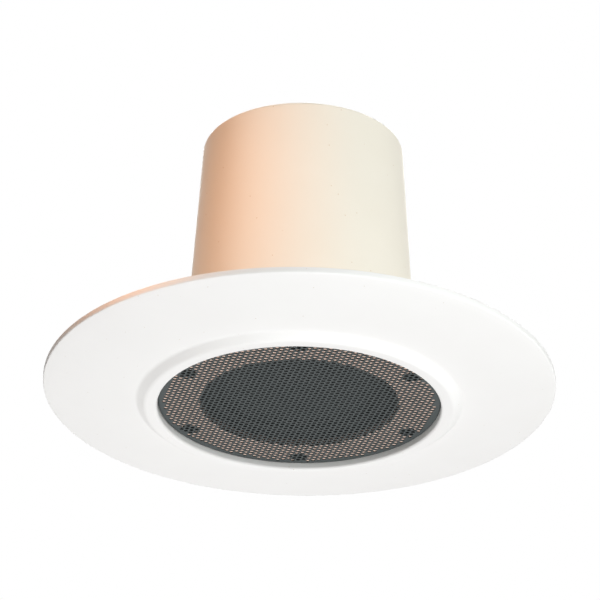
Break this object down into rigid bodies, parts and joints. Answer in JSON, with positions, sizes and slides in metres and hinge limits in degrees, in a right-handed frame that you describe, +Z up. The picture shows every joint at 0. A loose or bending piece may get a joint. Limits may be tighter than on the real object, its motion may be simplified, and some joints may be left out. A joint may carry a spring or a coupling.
{
  "type": "in-ceiling speaker",
  "caption": "Round in-ceiling speaker: wide domed bezel with a raised collar and dark perforated grille, cone driver, tapered back can, swing-out ceiling clamps.",
  "frame": {"origin": "on the axis at the ceiling's face, level with the back of the bezel's rim", "axes": "+Z up into the ceiling void along the axis; the grille faces -Z; the terminal block lies along X"},
  "size_m": [0.24, 0.24, 0.1515],
  "materials": {
    "white_abs": "satin moulded",
    "cream_abs": "satin moulded",
    "grille_black": "matt powder coat",
    "gasket_foam": "closed-cell foam",
    "black_screw": "black oxide",
    "zinc_steel": "zinc plated",
    "nickel_brass": "nickel plated",
    "tinned_brass": "tinned",
    "black_phenolic": "moulded",
    "brown_phenolic": "laminate",
    "black_frame": "black paint",
    "surround_rubber": "soft",
    "spider_cloth": "resin-dipped cloth",
    "cone_paper": "pressed fibre",
    "former_aluminium": "foil",
    "copper_wire": "enamelled",
    "plated_steel": "zinc plated",
    "ferrite": "sintered",
    "red_lead": "sleeved",
    "black_lead": "sleeved",
    "dog_nylon": "moulded"
  },
  "bodies": {
    "enclosure": {"bezel": "white_abs", "grille": "grille_black", "back_can": "cream_abs", "can_gasket": "gasket_foam", "driver_gasket": "gasket_foam", "can_screws": "black_screw", "driver_screws": "zinc_steel", "block_screws": "zinc_steel", "terminal_screws": "nickel_brass", "terminal_plates": "nickel_brass", "solder_tags": "tinned_brass", "board_rivets": "tinned_brass", "terminal_block": "black_phenolic", "tag_board": "brown_phenolic", "driver_frame": "black_frame", "surround": "surround_rubber", "spider": "spider_cloth", "top_plate": "plated_steel", "yoke": "plated_steel", "magnet": "ferrite", "lead_red": "red_lead", "lead_black": "black_lead"},
    "cone_assembly": {"cone": "cone_paper", "dust_cap": "cone_paper", "coil_former": "former_aluminium", "coil_winding": "copper_wire"},
    "clamp_1_screw": {"clamp_screw_1": "black_screw", "clamp_washer_1": "zinc_steel"},
    "clamp_1_dog": {"clamp_dog_1": "dog_nylon"},
    "clamp_2_screw": {"clamp_screw_2": "black_screw", "clamp_washer_2": "zinc_steel"},
    "clamp_2_dog": {"clamp_dog_2": "dog_nylon"},
    "clamp_3_screw": {"clamp_screw_3": "black_screw", "clamp_washer_3": "zinc_steel"},
    "clamp_3_dog": {"clamp_dog_3": "dog_nylon"}
  },
  "joints": [
    {"name": "cone_stroke", "type": "slide", "parent": "enclosure", "child": "cone_assembly", "axis": [0, 0, -1], "range_m": [-0.0025, 0.0025], "stiffness_N_per_m": 2000, "deforming": ["surround", "spider"]},
    {"name": "clamp_1_turn", "type": "hinge", "parent": "enclosure", "child": "clamp_1_screw", "pos_m": [0, 0.05999, 0], "axis": [0, 0, 1], "range_deg": [0, 90]},
    {"name": "clamp_1_draw", "type": "slide", "parent": "clamp_1_screw", "child": "clamp_1_dog", "axis": [0, 0, -1], "range_m": [0, 0.012]},
    {"name": "clamp_2_turn", "type": "hinge", "parent": "enclosure", "child": "clamp_2_screw", "pos_m": [-0.05195, -0.03, 0], "axis": [0, 0, 1], "range_deg": [0, 90]},
    {"name": "clamp_2_draw", "type": "slide", "parent": "clamp_2_screw", "child": "clamp_2_dog", "axis": [0, 0, -1], "range_m": [0, 0.012]},
    {"name": "clamp_3_turn", "type": "hinge", "parent": "enclosure", "child": "clamp_3_screw", "pos_m": [0.05195, -0.03, 0], "axis": [0, 0, 1], "range_deg": [0, 90]},
    {"name": "clamp_3_draw", "type": "slide", "parent": "clamp_3_screw", "child": "clamp_3_dog", "axis": [0, 0, -1], "range_m": [0, 0.012]}
  ]
}
